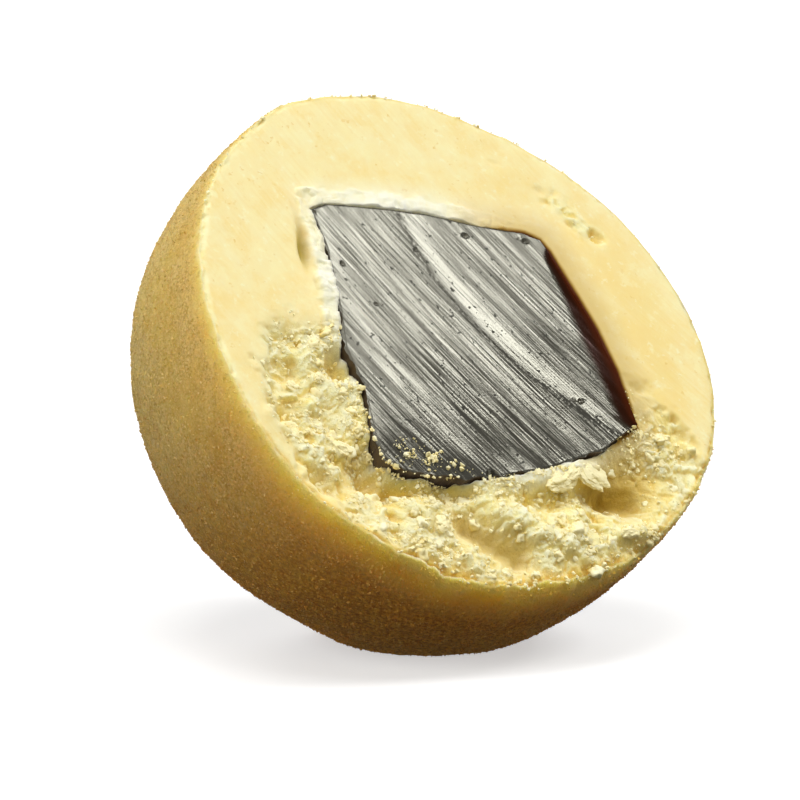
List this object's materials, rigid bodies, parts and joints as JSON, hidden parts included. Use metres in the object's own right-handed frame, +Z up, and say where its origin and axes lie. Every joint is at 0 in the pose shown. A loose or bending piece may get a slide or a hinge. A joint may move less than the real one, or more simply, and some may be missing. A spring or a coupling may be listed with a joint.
{
  "type": "chocolate-coated licorice",
  "caption": "Ball of soft licorice in a thick cream-yellow chocolate coat, dusted outside and cut open so that the dark core shows, standing on its round side.",
  "frame": {"origin": "Middle of the small flat spot on the underside that the ball rests on", "axes": "+Z up, -Y towards the viewer, +X to the viewer's right. The cut faces up and to the front right."},
  "size_m": [0.023, 0.0216, 0.0211],
  "materials": {
    "coating": "cream-yellow chocolate with a satin knife cut, a crumbly tear and a powder-dusted ochre outside",
    "licorice": "dense black-brown licorice, satin where the knife dragged across it"
  },
  "bodies": {
    "root": {"chocolate_coating": "coating", "licorice_core": "licorice"}
  },
  "joints": []
}
